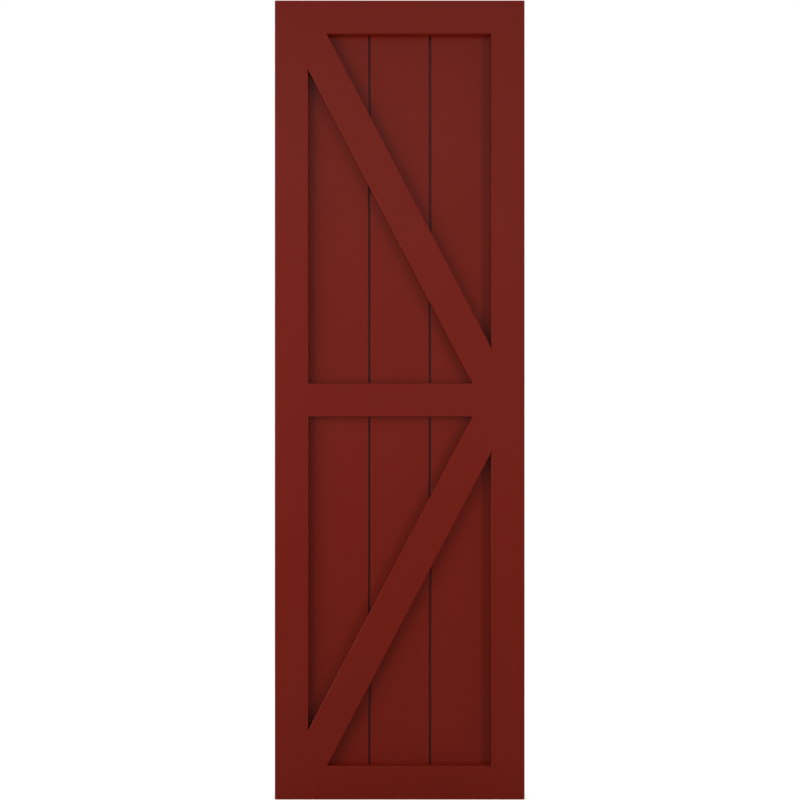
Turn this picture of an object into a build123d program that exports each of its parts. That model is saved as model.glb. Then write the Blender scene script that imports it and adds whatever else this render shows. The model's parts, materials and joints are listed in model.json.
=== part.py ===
from build123d import *
import os
from math import atan2, degrees, hypot, radians, tan

# Farmhouse shutter for fixing flat to a wall. A stile-and-rail frame is rabbeted at the back,
# tongued boards lie in the rabbets, flush with the back, and two diagonal braces are planted
# on the boards, flush with the front. All sizes are in millimetres.
# X runs to the right as seen from the front, +Z is up, and the front looks towards -Y.
# The origin is the middle of the back, in the plane Y = 0 that lies on the wall.

# Overall size
shutter_width = 381.0
shutter_height = 1219.2
frame_thickness = 25.4

# Frame members and braces
stile_width = 50.8
end_rail_width = 50.8
middle_rail_width = 50.8
brace_width = 50.8
rabbet_width = 12.7
edge_ease = 0.8

# Tongued boards: each of the two panels has one board for every name
board_names = ("left", "centre", "right")
board_thickness = 12.7
face_gap = 3.2
back_gap = 0.4
board_ease = 0.5
board_play = 1.0
tongue_thickness = 4.2
tongue_bite = 6.4
tongue_clearance = 0.3

# Blind mortise-and-tenon joints between the rails and the stiles
tenon_thickness = 8.4
tenon_length = 25.4
tenon_setback = 12.7
glue_line = 0.15
mortise_end_gap = 0.8

# Narrow-crown staples, driven from the back
staple_crown = 6.4
staple_wire_width = 1.2
staple_wire_thickness = 1.0
staple_sink = 0.3
staple_cover = 3.0
staple_clearance = 0.06
staple_across_board_shares = (0.25, 0.75)
staple_along_stile_shares = (0.2, 0.5, 0.8)

# Any cut runs this far past the face that it goes through
overrun = 2.0

# Places that follow from the sizes above
half_width = shutter_width / 2
half_height = shutter_height / 2
opening_width = shutter_width - 2 * stile_width
opening_height = (shutter_height - 2 * end_rail_width - middle_rail_width) / 2
half_opening = opening_width / 2
panel_middle = middle_rail_width / 2 + opening_height / 2
front_depth = frame_thickness - board_thickness
board_pitch = opening_width / len(board_names)
staple_length = frame_thickness - staple_sink - staple_cover
brace_angle = degrees(atan2(opening_height, opening_width))
brace_reach = hypot(opening_width, opening_height) + brace_width

# The middle height of each panel, and the way its brace leans
panels = {"upper": (panel_middle, -brace_angle), "lower": (-panel_middle, brace_angle)}

# Plane of the board faces, seen from the front, with X to the right and Z up
board_face_plane = Plane.XZ.offset(board_thickness)


def box_between(low, high):
    """A box from its lowest corner to its highest."""
    size = [top - bottom for bottom, top in zip(low, high)]
    return Pos(*low) * Box(*size, align=(Align.MIN, Align.MIN, Align.MIN))


def brace_strip(middle, angle):
    """The long strip that a brace is cut from, in the board face plane."""
    return Pos(0, middle) * Rot(0, 0, angle) * Rectangle(brace_reach, brace_width)


def panel_opening(middle):
    """The opening of one panel between stiles and rails, in the board face plane."""
    return Pos(0, middle) * Rectangle(opening_width, opening_height)


def eased_block():
    """The shutter's outline with its three-cornered recesses, and every edge in reach eased.

    The frame and braces are eased together, so the small chamfer runs on across each joint.
    """
    block = box_between((-half_width, -frame_thickness, -half_height), (half_width, 0, half_height))
    block = chamfer(block.edges(), edge_ease)
    for middle, angle in panels.values():
        recesses = board_face_plane * (panel_opening(middle) - brace_strip(middle, angle))
        block -= extrude(recesses, front_depth + overrun)
    front_edges = block.faces().sort_by(Axis.Y)[0].inner_wires().edges()
    return chamfer(front_edges, edge_ease)


def staple_outline():
    """A staple seen from above: its crown is sunk into the back, and its two legs end in chisel points."""
    outer = staple_crown / 2
    inner = outer - staple_wire_thickness
    crown_top = -staple_sink
    crown_bottom = crown_top - staple_wire_thickness
    point = crown_top - staple_length
    return make_face(Polyline(
        (-outer, crown_top),
        (outer, crown_top),
        (outer, point),
        (inner, point + staple_wire_thickness),
        (inner, crown_bottom),
        (-inner, crown_bottom),
        (-inner, point + staple_wire_thickness),
        (-outer, point),
        close=True,
    ))


def staple():
    """One staple with its crown along X."""
    return extrude(staple_outline(), staple_wire_width / 2, both=True)


def staple_slot():
    """The room that a staple takes, with its clearance, open through the back."""
    half_wire = staple_wire_width / 2 + staple_clearance
    half_crown = staple_crown / 2 + staple_clearance
    room = offset(staple_outline(), staple_clearance, kind=Kind.INTERSECTION)
    mouth = box_between((-half_crown, -staple_sink, -half_wire), (half_crown, overrun, half_wire))
    return extrude(room, half_wire, both=True) + mouth


def places_across_boards(z_at):
    """Staple places across every board of a panel, at the height that z_at gives for each x."""
    places = []
    for number in range(len(board_names)):
        for share in staple_across_board_shares:
            x = -half_opening + (number + share) * board_pitch
            places.append(Pos(x, 0, z_at(x)))
    return places


def board_staple_places():
    """Staples through the board ends into the rails, and upright through the outer boards into the stiles."""
    into_lip = rabbet_width / 2
    upright = Rot(0, 90, 0)
    places = []
    for middle, _ in panels.values():
        for end in (middle - opening_height / 2 - into_lip, middle + opening_height / 2 + into_lip):
            places += places_across_boards(lambda x, end=end: end)
        for share in staple_along_stile_shares:
            z = middle + (share - 1 / 2) * opening_height
            places += [Pos(side * (half_opening + into_lip), 0, z) * upright for side in (-1, 1)]
    return places


def brace_staple_places():
    """Staples through every board into the middle line of the brace that crosses it."""
    places = []
    for middle, angle in panels.values():
        slope = tan(radians(angle))
        places += places_across_boards(lambda x, middle=middle, slope=slope: middle + slope * x)
    return places


def staples_at(places):
    """One staple at each place, as a group of separate solids."""
    one = staple()
    return Compound(children=[place * one for place in places])


def stapled(piece, places):
    """The piece with slots for the staples that reach it."""
    slot = staple_slot()
    box = piece.bounding_box()
    slots = [
        place * slot
        for place in places
        if box.min.X < place.position.X < box.max.X and box.min.Z < place.position.Z < box.max.Z
    ]
    return piece - slots


def rail_heights():
    """Each rail's lower and upper edge, and how far its back is cut away at each of them."""
    middle_half = middle_rail_width / 2
    inner = half_height - end_rail_width
    return {
        "top_rail": (inner, half_height, rabbet_width, 0),
        "middle_rail": (-middle_half, middle_half, rabbet_width, rabbet_width),
        "bottom_rail": (-half_height, -inner, 0, rabbet_width),
    }


def tenons(low, high, cut_low, cut_high, clearance=0.0, end_gap=0.0):
    """The tenons at both ends of a rail as one bar. With a clearance, the mortises for them."""
    reach = half_opening + rabbet_width + tenon_length + end_gap
    near = -frame_thickness / 2 - tenon_thickness / 2 - clearance
    far = -frame_thickness / 2 + tenon_thickness / 2 + clearance
    bottom = low + (cut_low or tenon_setback) - clearance
    top = high - (cut_high or tenon_setback) + clearance
    return box_between((-reach, near, bottom), (reach, far, top))


def stile():
    """The left stile before stapling: a bar rabbeted along its inner edge, with three blind mortises."""
    inner = -half_opening
    section = Polyline(
        (-half_width, 0),
        (-half_width, -frame_thickness),
        (inner, -frame_thickness),
        (inner, -board_thickness),
        (inner - rabbet_width, -board_thickness),
        (inner - rabbet_width, 0),
        close=True,
    )
    bar = Pos(0, 0, -half_height) * extrude(make_face(section), shutter_height, dir=(0, 0, 1))
    for edges in rail_heights().values():
        bar -= tenons(*edges, clearance=glue_line, end_gap=mortise_end_gap)
    return bar


def rail(low, high, cut_low, cut_high):
    """A rail before stapling, rabbeted at the back, with long back shoulders that fill the stile rabbets."""
    short = half_opening
    long = half_opening + rabbet_width
    plan = Polyline(
        (-short, -frame_thickness),
        (short, -frame_thickness),
        (short, -board_thickness),
        (long, -board_thickness),
        (long, 0),
        (-long, 0),
        (-long, -board_thickness),
        (-short, -board_thickness),
        close=True,
    )
    bar = Pos(0, 0, low) * extrude(make_face(plan), high - low, dir=(0, 0, 1))
    for bottom, top in ((low - overrun, low + cut_low), (high - cut_high, high + overrun)):
        bar -= box_between((-long - overrun, -board_thickness, bottom), (long + overrun, overrun, top))
    return bar + tenons(low, high, cut_low, cut_high)


def brace(middle, angle):
    """A brace before stapling: a straight strip cut to a point that fits into two corners of its panel."""
    outline = panel_opening(middle) & brace_strip(middle, angle)
    return extrude(board_face_plane * outline, front_depth)


def board(number, middle):
    """A board before stapling: tongue to its left, groove to its right, plain where it meets a stile."""
    last = len(board_names) - 1
    left = -half_opening + number * board_pitch
    right = left + board_pitch
    reach = half_opening + rabbet_width - board_play
    face = -board_thickness
    tongue_front = face / 2 - tongue_thickness / 2
    tongue_back = face / 2 + tongue_thickness / 2
    slack = tongue_clearance / 2

    if number == 0:
        left_edge = [(-reach, face), (-reach, 0)]
    else:
        left_edge = [
            (left + face_gap / 2 + board_ease, face),
            (left + face_gap / 2, face + board_ease),
            (left + face_gap / 2, tongue_front + slack),
            (left - face_gap / 2 - tongue_bite, tongue_front + slack),
            (left - face_gap / 2 - tongue_bite, tongue_back - slack),
            (left + back_gap / 2, tongue_back - slack),
            (left + back_gap / 2, 0),
        ]
    if number == last:
        right_edge = [(reach, 0), (reach, face)]
    else:
        groove_end = right - face_gap / 2 - tongue_bite - tongue_clearance
        right_edge = [
            (right - back_gap / 2, 0),
            (right - back_gap / 2, tongue_back),
            (groove_end, tongue_back),
            (groove_end, tongue_front),
            (right - face_gap / 2, tongue_front),
            (right - face_gap / 2, face + board_ease),
            (right - face_gap / 2 - board_ease, face),
        ]
    section = make_face(Polyline(*left_edge, *right_edge, close=True))
    length = opening_height + 2 * (rabbet_width - board_play)
    return Pos(0, 0, middle - length / 2) * extrude(section, length, dir=(0, 0, 1))


def build():
    """Every piece of the shutter under its own name."""
    eased = eased_block()
    into_boards = board_staple_places()
    into_braces = brace_staple_places()
    left = stile()
    pieces = {
        "left_stile": stapled(left, into_boards) & eased,
        "right_stile": stapled(mirror(left, Plane.YZ), into_boards) & eased,
        "board_staples": staples_at(into_boards),
        "brace_staples": staples_at(into_braces),
    }
    for name, edges in rail_heights().items():
        pieces[name] = stapled(rail(*edges), into_boards) & eased
    for panel, (middle, angle) in panels.items():
        pieces[f"{panel}_brace"] = stapled(brace(middle, angle), into_braces) & eased
        for number, name in enumerate(board_names):
            pieces[f"{panel}_{name}_board"] = stapled(board(number, middle), into_boards + into_braces)
    return pieces


os.makedirs("parts", exist_ok=True)
for node, shape in build().items():
    export_step(shape, os.path.join("parts", node + ".step"))
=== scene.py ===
import json
import logging
import math
from collections.abc import Iterable
from dataclasses import dataclass
from enum import Enum

import bmesh
import bpy
from mathutils import Matrix, Vector


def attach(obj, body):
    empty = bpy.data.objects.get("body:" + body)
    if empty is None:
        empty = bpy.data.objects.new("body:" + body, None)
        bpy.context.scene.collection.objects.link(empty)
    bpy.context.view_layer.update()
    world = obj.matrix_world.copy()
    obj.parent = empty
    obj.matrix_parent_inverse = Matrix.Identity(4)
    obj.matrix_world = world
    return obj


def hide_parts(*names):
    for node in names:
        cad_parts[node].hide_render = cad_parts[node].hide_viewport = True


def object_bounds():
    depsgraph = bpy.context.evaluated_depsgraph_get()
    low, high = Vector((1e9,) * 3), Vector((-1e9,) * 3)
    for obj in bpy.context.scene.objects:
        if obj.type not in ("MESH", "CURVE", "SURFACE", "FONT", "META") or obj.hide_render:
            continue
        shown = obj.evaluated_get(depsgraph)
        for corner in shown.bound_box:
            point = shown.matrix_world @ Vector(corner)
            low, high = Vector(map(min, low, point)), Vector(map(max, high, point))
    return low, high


# Lengths are in metres, lamp powers in watts and azimuths in degrees. X runs to the right as seen
# from the front, +Z is up, and the front looks towards -Y. The origin is the middle of the back.

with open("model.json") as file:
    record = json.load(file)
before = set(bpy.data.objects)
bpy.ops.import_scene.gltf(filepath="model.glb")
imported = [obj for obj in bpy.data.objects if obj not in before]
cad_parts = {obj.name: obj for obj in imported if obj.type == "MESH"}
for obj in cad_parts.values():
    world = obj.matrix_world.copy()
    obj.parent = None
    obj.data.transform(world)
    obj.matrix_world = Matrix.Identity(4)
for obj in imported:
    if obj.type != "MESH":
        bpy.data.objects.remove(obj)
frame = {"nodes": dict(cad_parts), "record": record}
CAD_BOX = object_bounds()
BODY = "root"

QUARTER_TURN = math.radians(90.0)

# White as a socket takes it, and the strength at which a glow or the world shows as white
WHITE = (1.0, 1.0, 1.0, 1.0)
FULL_WHITE = 1.0

Colour = tuple[float, float, float]
Socket = bpy.types.NodeSocket

log = logging.getLogger("farmhouse_shutter")


class PaintCoat(Enum):
    """The two record slots that take the red paint."""

    FRAME = "frame_paint"
    BOARDS = "board_paint"


class StapleSet(Enum):
    """The two groups of staples, by the frame node that each stands for."""

    BOARDS = "board_staples"
    BRACES = "brace_staples"


# Node trees

def opaque(colour: Colour) -> tuple[float, float, float, float]:
    """The colour as a socket takes it, with full alpha."""
    return (*colour, 1.0)


def live_input(node: bpy.types.Node, name: str) -> Socket:
    """The node's input of that name which its settings leave in use."""
    return next(socket for socket in node.inputs if socket.name == name and socket.enabled)


class NodeSheet:
    """The node tree of a material or world, with short ways to add and join nodes."""

    def __init__(self, owner: bpy.types.Material | bpy.types.World, end: str) -> None:
        """Empty the owner's tree and add its output.

        Args:
            owner: The material or world whose nodes are made here.
            end: The output node's Blender type name.
        """
        owner.use_nodes = True
        self.tree = owner.node_tree
        self.tree.nodes.clear()
        self.end = self.add(end)

    def feed(self, entry: Socket, value: object) -> None:
        """Fill one input of a node.

        Args:
            entry: The input.
            value: The output socket that is joined to it, or the plain value that it holds.
        """
        if isinstance(value, Socket):
            self.tree.links.new(value, entry)
        else:
            entry.default_value = value

    def add(self, kind: str, *values: object, **settings: object) -> bpy.types.Node:
        """Add a node, set its properties and fill its inputs.

        Args:
            kind: The node's Blender type name.
            values: What goes into its first inputs, in order.
            settings: Properties by name, or inputs by name with underscores for spaces.

        Returns:
            The new node.
        """
        node = self.tree.nodes.new(kind)
        for key, value in settings.items():
            if hasattr(node, key):
                setattr(node, key, value)
            else:
                self.feed(live_input(node, key.replace("_", " ")), value)
        for entry, value in zip(node.inputs, values):
            self.feed(entry, value)
        return node

    def give(self, kind: str, *values: object, **settings: object) -> Socket:
        """Add a node as add does, and give the first of its outputs that is in use."""
        node = self.add(kind, *values, **settings)
        return next(socket for socket in node.outputs if socket.enabled)

    def maths(self, operation: str, *values: Socket | float) -> Socket:
        """Work out a number from sockets and plain numbers."""
        return self.give("ShaderNodeMath", *values, operation=operation)

    def noise(self, place: Socket, scale: float, detail: float) -> Socket:
        """A noise from 0 to 1 over a place."""
        return self.give("ShaderNodeTexNoise", Vector=place, Scale=scale, Detail=detail)

    def between(self, share: Socket, low: float, high: float) -> Socket:
        """A number that goes from low to high as the share goes from 0 to 1."""
        return self.give("ShaderNodeMapRange", Value=share, To_Min=low, To_Max=high)

    def blend(self, share: Socket, first: object, second: object) -> Socket:
        """A colour that goes from the first to the second as the share goes from 0 to 1."""
        return self.give("ShaderNodeMix", data_type="RGBA", Factor=share, A=first, B=second)

    def bump(self, height: Socket, depth: float) -> Socket:
        """A normal for a surface that is uneven by that depth."""
        return self.give("ShaderNodeBump", Height=height, Strength=1.0, Distance=depth)

    def shows_white(self, mirrored: Socket | float) -> Socket:
        """Say where a surface shows its white: to the camera, and in part in gloss and glass.

        Args:
            mirrored: How much of the white shows in gloss and glass, from 0 to 1.

        Returns:
            A socket that is 1 where the white shows.
        """
        path = self.add("ShaderNodeLightPath").outputs
        gloss = self.maths("MAXIMUM", path["Is Glossy Ray"], path["Is Transmission Ray"])
        gloss = self.maths("MULTIPLY", gloss, mirrored)
        return self.maths("MAXIMUM", path["Is Camera Ray"], gloss)

    def close(self, surface: Socket) -> None:
        """Join the finished shader to the tree's output."""
        self.feed(self.end.inputs["Surface"], surface)


# Finishes

@dataclass(frozen=True)
class PaintedGapSheen:
    """A greyer colour painted on the tongues between the boards as painted sheen, thinning out towards
    the boards' faces.

    Attributes:
        colour: The painted sheen's colour.
        tongue_face: Y of the tongues' front, where the painted sheen is strongest.
        reach: How far from there the painted sheen ends.
    """

    colour: Colour = (0.15, 0.036, 0.03)
    tongue_face: float = -0.0083
    reach: float = 0.0042

    def laid_over(self, sheet: NodeSheet, place: Socket, tone: Socket) -> Socket:
        """Lay the painted sheen over a paint's colour.

        Args:
            sheet: The tree that the nodes go into.
            place: The paint's Object coordinates.
            tone: The paint's colour.

        Returns:
            The colour with the painted sheen.
        """
        depth = sheet.add("ShaderNodeSeparateXYZ", place).outputs["Y"]
        away = sheet.maths("ABSOLUTE", sheet.maths("SUBTRACT", depth, self.tongue_face))
        # Painted sheen: strongest at the tongues' front, gone a reach away from it
        sheen_share = sheet.give(
            "ShaderNodeMapRange",
            Value=away,
            From_Max=self.reach,
            To_Min=1.0,
            To_Max=0.0,
        )
        return sheet.blend(sheen_share, tone, opaque(self.colour))


@dataclass(frozen=True)
class SatinPaint:
    """Sprayed satin paint: an even red with a faint drift of tone, an uneven gloss and orange peel.

    Attributes:
        name: The material's name.
        gap_sheen: Painted sheen on the tongues between the boards, or None where there is none.
        colour: The paint's middle colour.
        drift: Share by which the tone goes darker and lighter.
        drift_scale: Waves of this drift to the metre.
        drift_detail: Finer layers in them.
        roughness_low: Roughness where the paint is glossiest.
        roughness_high: Roughness where it is dullest.
        roughness_scale: Waves between the two to the metre.
        roughness_detail: Finer layers in them.
        specular: Strength of the gloss.
        peel_depth: Depth of the orange peel.
        peel_scale: Waves of the peel to the metre.
        peel_detail: Finer layers in them.
    """

    name: str
    gap_sheen: PaintedGapSheen | None = None
    colour: Colour = (0.152, 0.0102, 0.0046)
    drift: float = 0.02
    drift_scale: float = 5.0
    drift_detail: float = 3.0
    roughness_low: float = 0.27
    roughness_high: float = 0.31
    roughness_scale: float = 30.0
    roughness_detail: float = 2.0
    specular: float = 0.12
    peel_depth: float = 0.00005
    peel_scale: float = 520.0
    peel_detail: float = 1.0

    def material(self) -> bpy.types.Material:
        """Make the paint's material.

        Returns:
            A material on Object coordinates, so the paint runs on from piece to piece.
        """
        paint = bpy.data.materials.new(self.name)
        sheet = NodeSheet(paint, "ShaderNodeOutputMaterial")
        place = sheet.add("ShaderNodeTexCoord").outputs["Object"]
        dark = opaque(tuple(part * (1.0 - self.drift) for part in self.colour))
        light = opaque(tuple(part * (1.0 + self.drift) for part in self.colour))
        tone = sheet.blend(sheet.noise(place, self.drift_scale, self.drift_detail), dark, light)
        # Where given, a painted sheen greys the colour on the tongues between the boards
        if self.gap_sheen:
            tone = self.gap_sheen.laid_over(sheet, place, tone)
        cloud = sheet.noise(place, self.roughness_scale, self.roughness_detail)
        peel = sheet.noise(place, self.peel_scale, self.peel_detail)
        surface = sheet.give(
            "ShaderNodeBsdfPrincipled",
            Base_Color=tone,
            Roughness=sheet.between(cloud, self.roughness_low, self.roughness_high),
            Specular_IOR_Level=self.specular,
            Normal=sheet.bump(peel, self.peel_depth),
        )
        sheet.close(surface)
        return paint


@dataclass(frozen=True)
class StapleSteel:
    """Drawn stainless wire: bright metal, a little dulled, with fine scuffs from the staple gun.

    Attributes:
        name: The material's name.
        bright: Colour where the wire is clean.
        dull: Colour where it is dulled.
        tone_scale: Waves between the two to the metre.
        tone_detail: Finer layers in them.
        roughness_low: Roughness where the wire is glossiest.
        roughness_high: Roughness where it is most scuffed.
        scuff_depth: Depth of the scuffs.
        scuff_scale: Scuffs to the metre.
        scuff_detail: Finer layers in them.
    """

    name: str = "staple_steel"
    bright: Colour = (0.62, 0.62, 0.60)
    dull: Colour = (0.47, 0.465, 0.45)
    tone_scale: float = 260.0
    tone_detail: float = 3.0
    roughness_low: float = 0.28
    roughness_high: float = 0.46
    scuff_depth: float = 0.000008
    scuff_scale: float = 2600.0
    scuff_detail: float = 2.0

    def material(self) -> bpy.types.Material:
        """Make the wire's material.

        Returns:
            A metal on Object coordinates whose tone, gloss and scuffs vary along the wire.
        """
        steel = bpy.data.materials.new(self.name)
        sheet = NodeSheet(steel, "ShaderNodeOutputMaterial")
        place = sheet.add("ShaderNodeTexCoord").outputs["Object"]
        cloud = sheet.noise(place, self.tone_scale, self.tone_detail)
        scuff = sheet.noise(place, self.scuff_scale, self.scuff_detail)
        surface = sheet.give(
            "ShaderNodeBsdfPrincipled",
            Base_Color=sheet.blend(cloud, opaque(self.dull), opaque(self.bright)),
            Metallic=1.0,
            Roughness=sheet.between(scuff, self.roughness_low, self.roughness_high),
            Normal=sheet.bump(scuff, self.scuff_depth),
        )
        sheet.close(surface)
        return steel


@dataclass(frozen=True)
class FloorCover:
    """Pale studio floor that shows white to the camera and keeps the shutter's soft shadow.

    Attributes:
        name: The material's name.
        bounce: Grey that the floor has to bounced light.
        shadow_tone: Grey of the lit floor that the camera sees near the shutter's foot.
        lift_at_foot: Glow that is added to it.
        foot_radius: Distance from the foot at which this floor starts to fade into plain white.
        white_radius: Distance at which it is plain white.
        mirror_start: Distance at which the white starts to show in gloss.
        mirror_end: Distance at which all of it does.
    """

    name: str = "pale_floor"
    bounce: float = 0.45
    shadow_tone: float = 0.55
    lift_at_foot: float = 0.6
    foot_radius: float = 0.25
    white_radius: float = 1.2
    mirror_start: float = 2.5
    mirror_end: float = 8.0

    def material(self) -> bpy.types.Material:
        """Make the floor's material.

        Returns:
            A material that is dim to bounced light. The camera sees a lit and lifted surface
            round the shutter's foot, which goes over into plain white further out. Gloss shows
            that white only on the far floor.
        """
        cover = bpy.data.materials.new(self.name)
        sheet = NodeSheet(cover, "ShaderNodeOutputMaterial")
        place = sheet.add("ShaderNodeTexCoord").outputs["Object"]
        away = sheet.give("ShaderNodeVectorMath", place, operation="LENGTH")
        lift = sheet.give("ShaderNodeEmission", Color=WHITE, Strength=self.lift_at_foot)
        lit = sheet.give("ShaderNodeBsdfDiffuse", Color=opaque((self.shadow_tone,) * 3))
        near = sheet.give("ShaderNodeAddShader", lift, lit)
        white = sheet.give("ShaderNodeEmission", Color=WHITE, Strength=FULL_WHITE)
        fade = sheet.give(
            "ShaderNodeMapRange",
            Value=away,
            interpolation_type="SMOOTHSTEP",
            From_Min=self.foot_radius,
            From_Max=self.white_radius,
        )
        seen = sheet.give("ShaderNodeMixShader", fade, near, white)
        plain = sheet.give("ShaderNodeBsdfDiffuse", Color=opaque((self.bounce,) * 3))
        far = sheet.give(
            "ShaderNodeMapRange",
            Value=away,
            From_Min=self.mirror_start,
            From_Max=self.mirror_end,
        )
        sheet.close(sheet.give("ShaderNodeMixShader", sheet.shows_white(far), plain, seen))
        return cover


# The shutter's pieces

@dataclass
class PaintedPieces:
    """All pieces of the shutter that one coat of paint covers.

    Attributes:
        coat: The record slot that these pieces share.
        finish: Their paint.
    """

    coat: PaintCoat
    finish: SatinPaint

    def node_names(self) -> list[str]:
        """Names of the frame's nodes that carry this coat's slot."""
        rows = frame["record"]["subparts"]
        return [row["node"] for row in rows if row["material_slot"] == self.coat.value]

    def dress(self) -> list[bpy.types.Object]:
        """Give every piece of this coat its paint.

        Returns:
            The painted pieces.
        """
        paint = self.finish.material()
        pieces = [frame["nodes"][name] for name in self.node_names()]
        for piece in pieces:
            piece.data.materials.clear()
            piece.data.materials.append(paint)
        return pieces


def box_of(points: list[Vector]) -> tuple[Vector, Vector]:
    """Find the box round some points.

    Args:
        points: The points, at least one.

    Returns:
        The box's lowest and highest corner.
    """
    low = Vector(min(point[axis] for point in points) for axis in range(3))
    high = Vector(max(point[axis] for point in points) for axis in range(3))
    return low, high


def of_kind(parts: Iterable[object], kind: type) -> list:
    """Those parts of a mesh operator's result that are of one kind."""
    return [part for part in parts if isinstance(part, kind)]


def all_of(mesh: bmesh.types.BMesh) -> list:
    """Everything in a mesh, as the operators take it."""
    return mesh.verts[:] + mesh.edges[:] + mesh.faces[:]


@dataclass
class Staples:
    """One group of narrow-crown staples, bent from flattened wire, where the frame's node has them.

    Attributes:
        group: The group, with the node that it stands for.
        finish: The wire's metal.
        slot: The record slot of that metal. Not used.
        wire_thickness: Thickness of the wire. Its width comes from the node.
        bend_radius: Radius inside each bend.
        bend_steps: Straight steps in each bend.
        edge_round: Rounding of the wire's edges.
        edge_steps: Straight steps in that rounding.
        merge_distance: Points nearer than this are one point.
    """

    group: StapleSet
    finish: StapleSteel
    slot: str = "staple_steel"
    wire_thickness: float = 0.001
    bend_radius: float = 0.0002
    bend_steps: int = 5
    edge_round: float = 0.00025
    edge_steps: int = 2
    merge_distance: float = 1e-6

    def boxes(self) -> list[tuple[Vector, Vector]]:
        """Find the box of every staple in the frame's node.

        Returns:
            A lowest and a highest corner for each separate solid.
        """
        mesh = bmesh.new()
        mesh.from_mesh(frame["nodes"][self.group.value].data)
        bmesh.ops.remove_doubles(mesh, verts=mesh.verts[:], dist=self.merge_distance)
        left = set(mesh.verts)
        found = []
        while left:
            to_visit = [left.pop()]
            points = []
            while to_visit:
                vert = to_visit.pop()
                points.append(vert.co.copy())
                near = {edge.other_vert(vert) for edge in vert.link_edges} & left
                left -= near
                to_visit.extend(near)
            found.append(box_of(points))
        mesh.free()
        return sorted(found, key=lambda box: tuple(box[0]))

    def section(self, mesh: bmesh.types.BMesh, width: float) -> bmesh.types.BMFace:
        """Start the wire at the crown's middle with its section, which has rounded corners.

        Args:
            mesh: The staple that is being made.
            width: Width of the wire across the crown.

        Returns:
            The section's face, which looks along X.
        """
        half_unit = 0.5
        size = Matrix.Diagonal((self.wire_thickness, width, 1.0, 1.0))
        facing_x = Matrix(((0, 0, 1, 0), (1, 0, 0, 0), (0, 1, 0, 0), (0, 0, 0, 1)))
        under_back = Matrix.Translation((0.0, -self.wire_thickness / 2, 0.0))
        place = under_back @ (facing_x @ size)
        bmesh.ops.create_grid(mesh, x_segments=1, y_segments=1, size=half_unit, matrix=place)
        bmesh.ops.bevel(
            mesh,
            geom=mesh.verts[:],
            offset=self.edge_round,
            offset_type="OFFSET",
            segments=self.edge_steps,
            profile=0.5,
            affect="VERTICES",
            material=-1,
        )
        return next(iter(mesh.faces))

    def run_on(
        self,
        mesh: bmesh.types.BMesh,
        end: bmesh.types.BMFace,
        step: Vector,
    ) -> bmesh.types.BMFace:
        """Carry the wire straight on from its end face.

        Args:
            mesh: The staple that is being made.
            end: The wire's end face, which goes.
            step: How far and which way the wire runs.

        Returns:
            The new end face.
        """
        made = bmesh.ops.extrude_face_region(mesh, geom=[end])["geom"]
        bmesh.ops.translate(mesh, verts=of_kind(made, bmesh.types.BMVert), vec=step)
        bmesh.ops.delete(mesh, geom=[end], context="FACES_ONLY")
        return of_kind(made, bmesh.types.BMFace)[0]

    def sharpen(self, mesh: bmesh.types.BMesh, tip: Vector) -> None:
        """Cut the leg to a chisel point at its outer corner.

        Args:
            mesh: Half a staple, open where its crown is halved.
            tip: The point's place.
        """
        cut = bmesh.ops.bisect_plane(
            mesh,
            geom=all_of(mesh),
            plane_co=tip,
            plane_no=(-1.0, -1.0, 0.0),
            clear_outer=True,
        )
        bmesh.ops.holes_fill(mesh, edges=of_kind(cut["geom_cut"], bmesh.types.BMEdge), sides=0)

    def wire(self, crown: float, width: float, depth: float) -> bpy.types.Mesh:
        """Bend one staple with its crown along X, just under Y = 0, and its legs towards -Y.

        Args:
            crown: Width over both legs.
            width: Width of the wire across the crown.
            depth: Length from the crown's back to the points.

        Returns:
            The staple's mesh.
        """
        mesh = bmesh.new()
        half = crown / 2
        straight = half - self.wire_thickness - self.bend_radius
        turn = self.wire_thickness + self.bend_radius
        end = self.run_on(mesh, self.section(mesh, width), Vector((straight, 0.0, 0.0)))
        bent = bmesh.ops.spin(
            mesh,
            geom=[end],
            cent=(straight, -turn, 0.0),
            axis=(0.0, 0.0, -1.0),
            angle=QUARTER_TURN,
            steps=self.bend_steps,
        )
        bmesh.ops.delete(mesh, geom=[end], context="FACES_ONLY")
        end = of_kind(bent["geom_last"], bmesh.types.BMFace)[0]
        self.run_on(mesh, end, Vector((0.0, turn - depth, 0.0)))
        self.sharpen(mesh, Vector((half, -depth, 0.0)))
        bmesh.ops.mirror(
            mesh,
            geom=all_of(mesh),
            matrix=Matrix.Identity(4),
            merge_dist=self.merge_distance,
            axis="X",
        )
        bmesh.ops.remove_doubles(mesh, verts=mesh.verts[:], dist=self.merge_distance)
        bmesh.ops.recalc_face_normals(mesh, faces=mesh.faces[:])
        staple = bpy.data.meshes.new("staple")
        mesh.to_mesh(staple)
        mesh.free()
        return staple

    def build(self) -> bpy.types.Object:
        """Drive a staple into every place and dress the group.

        Returns:
            The group's object, which stands for the frame's node.
        """
        driven = bmesh.new()
        for low, high in self.boxes():
            size = high - low
            staple = self.wire(max(size.x, size.z), min(size.x, size.z), size.y)
            place = Matrix.Translation(((low.x + high.x) / 2, high.y, (low.z + high.z) / 2))
            upright = size.z > size.x
            if upright:
                place = place @ Matrix.Rotation(QUARTER_TURN, 4, "Y")
            staple.transform(place)
            driven.from_mesh(staple)
            bpy.data.meshes.remove(staple)
        name = self.group.value + "_wire"
        data = bpy.data.meshes.new(name)
        driven.to_mesh(data)
        driven.free()
        data.materials.append(self.finish.material())
        piece = bpy.data.objects.new(name, data)
        bpy.context.scene.collection.objects.link(piece)
        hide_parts(self.group.value)
        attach(piece, BODY)
        return piece


# The studio

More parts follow.
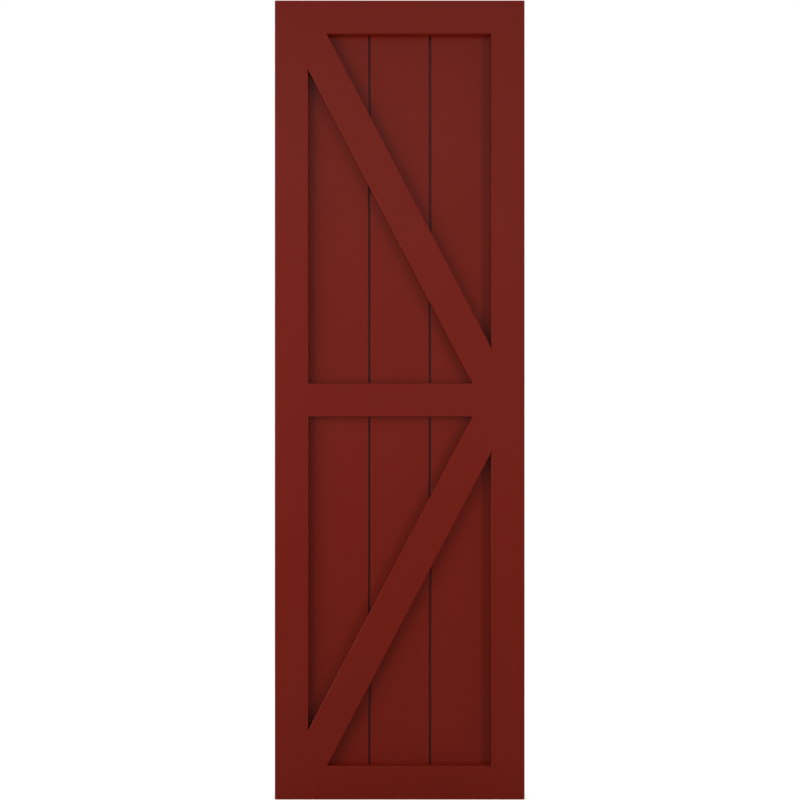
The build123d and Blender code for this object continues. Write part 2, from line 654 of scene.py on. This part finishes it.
@dataclass(frozen=True)
class Softbox:
    """An upright soft lamp that faces the shutter, placed round its upright middle line.

    Attributes:
        name: The lamp's name.
        azimuth: Where it stands, from 0 in front and growing to the right.
        distance: How far it stands from the middle line.
        rise: How far its middle is over the shutter's middle.
        width: Width of its lit face.
        height: Height of its lit face.
        power: Its power.
    """

    name: str
    azimuth: float
    distance: float
    rise: float
    width: float
    height: float
    power: float

    def build(self) -> bpy.types.Object:
        """Stand the lamp in its place.

        Returns:
            The lamp's object.
        """
        data = bpy.data.lights.new(self.name, "AREA")
        data.shape = "RECTANGLE"
        data.size = self.width
        data.size_y = self.height
        data.energy = self.power
        turn = math.radians(self.azimuth)
        away = Vector((math.sin(turn), -math.cos(turn), 0.0))
        lamp = bpy.data.objects.new(self.name, data)
        lamp.location = away * self.distance + Vector((0.0, 0.0, self.rise))
        lamp.rotation_euler = (-away).to_track_quat("-Z", "Y").to_euler()
        lamp.visible_camera = False
        bpy.context.scene.collection.objects.link(lamp)
        return lamp


@dataclass(frozen=True)
class Surroundings:
    """A room that shows white, and gives an even dim light with more from ceiling and backdrop.

    Attributes:
        backdrop: Light added from behind the shutter.
        ceiling: Light added from straight above, and less of it from lower down.
        room: Light from all round.
        backdrop_edge: How far a direction leans to the back where the backdrop has its full light.
    """

    backdrop: float = 0.35
    ceiling: float = 0.38
    room: float = 0.19
    backdrop_edge: float = 0.35

    def build(self) -> None:
        """Make the world that gives this light and shows white to the camera."""
        world = bpy.data.worlds.new("surroundings")
        bpy.context.scene.world = world
        sheet = NodeSheet(world, "ShaderNodeOutputWorld")
        direction = sheet.add("ShaderNodeTexCoord").outputs["Generated"]
        axes = sheet.add("ShaderNodeSeparateXYZ", direction).outputs
        behind = sheet.give("ShaderNodeMapRange", Value=axes["Y"], From_Max=self.backdrop_edge)
        above = sheet.maths("MAXIMUM", axes["Z"], 0.0)
        level = sheet.maths("MULTIPLY_ADD", above, self.ceiling, self.room)
        level = sheet.maths("MULTIPLY_ADD", behind, self.backdrop, level)
        strength = sheet.give(
            "ShaderNodeMix",
            data_type="FLOAT",
            Factor=sheet.shows_white(1.0),
            A=level,
            B=FULL_WHITE,
        )
        sheet.close(sheet.give("ShaderNodeBackground", Color=WHITE, Strength=strength))


@dataclass
class Studio:
    """Pale floor, white surroundings, soft lamps and the camera.

    Attributes:
        floor_level: Z of the shutter's foot.
        front: Y of the shutter's front.
        lamps: The lamps, which are placed in this order.
        surroundings: The room's own light.
        cover: The floor's material.
        floor_radius: Radius of the floor.
        floor_sides: Sides of its outline.
        camera_distance: How far the camera stands from the front.
        camera_side: How far it stands to the right of the middle.
        lens: The camera's focal length in millimetres.
        sensor: Its sensor's width in millimetres.
    """

    floor_level: float
    front: float
    lamps: tuple[Softbox, ...]
    surroundings: Surroundings = Surroundings()
    cover: FloorCover = FloorCover()
    floor_radius: float = 12.0
    floor_sides: int = 64
    camera_distance: float = 1.6945
    camera_side: float = 0.00045
    lens: float = 50.0
    sensor: float = 36.0

    def floor(self) -> bpy.types.Object:
        """Lay the floor under the shutter's foot.

        Returns:
            The floor's object.
        """
        mesh = bmesh.new()
        bmesh.ops.create_circle(
            mesh,
            cap_ends=True,
            segments=self.floor_sides,
            radius=self.floor_radius,
        )
        data = bpy.data.meshes.new("floor")
        mesh.to_mesh(data)
        mesh.free()
        data.materials.append(self.cover.material())
        floor = bpy.data.objects.new("floor", data)
        floor.location = (0.0, 0.0, self.floor_level)
        bpy.context.scene.collection.objects.link(floor)
        return floor

    def camera(self) -> bpy.types.Object:
        """Stand the camera level in front of the shutter's middle.

        Returns:
            The camera's object.
        """
        data = bpy.data.cameras.new("camera")
        data.lens = self.lens
        data.sensor_width = self.sensor
        view = bpy.data.objects.new("camera", data)
        view.location = (self.camera_side, self.front - self.camera_distance, 0.0)
        view.rotation_euler = (QUARTER_TURN, 0.0, 0.0)
        bpy.context.scene.collection.objects.link(view)
        bpy.context.scene.camera = view
        return view

    def build(self) -> list[bpy.types.Object]:
        """Set up the whole studio.

        Returns:
            The floor, the lamps and the camera.
        """
        floor = self.floor()
        self.surroundings.build()
        lamps = [lamp.build() for lamp in self.lamps]
        return [floor, *lamps, self.camera()]


LAMPS = (
    Softbox("left_softbox", azimuth=-48.5, distance=1.35, rise=0.22, width=0.7, height=1.18, power=9.7),
    Softbox("left_wrap", azimuth=-72.0, distance=1.9, rise=-0.18, width=0.6, height=0.84, power=9.1),
    Softbox("right_strip", azimuth=52.0, distance=1.35, rise=0.1, width=0.2, height=1.16, power=7.0),
    Softbox("right_wrap", azimuth=74.0, distance=1.9, rise=-0.24, width=0.6, height=0.7, power=4.1),
    Softbox("front_fill", azimuth=-3.0, distance=1.9, rise=0.85, width=1.2, height=0.6, power=1.1),
    Softbox("rear_left", azimuth=-148.0, distance=1.9, rise=0.5, width=0.9, height=0.9, power=7.5),
    Softbox("rear_right", azimuth=150.0, distance=1.9, rise=0.1, width=0.6, height=0.9, power=5.0),
)


def main() -> None:
    """Build and dress the shutter, then the studio round it, and report each piece."""
    logging.basicConfig(level=logging.INFO, format="%(message)s")
    bpy.context.scene.view_settings.view_transform = "Standard"
    coats = (
        PaintedPieces(PaintCoat.FRAME, SatinPaint(PaintCoat.FRAME.value)),
        # The boards' paint takes a painted sheen on the tongues in the gaps between the boards
        PaintedPieces(PaintCoat.BOARDS, SatinPaint(PaintCoat.BOARDS.value, gap_sheen=PaintedGapSheen())),
    )
    for coat in coats:
        for piece in coat.dress():
            log.info("%s painted with %s", piece.name, coat.finish.name)
    for group in StapleSet:
        piece = Staples(group, StapleSteel()).build()
        log.info("%s bent and driven, %d faces", piece.name, len(piece.data.polygons))
    low_corner = CAD_BOX[0]
    studio = Studio(floor_level=low_corner[2], front=low_corner[1], lamps=LAMPS)
    for item in studio.build():
        log.info("%s placed", item.name)


if __name__ == "__main__":
    main()
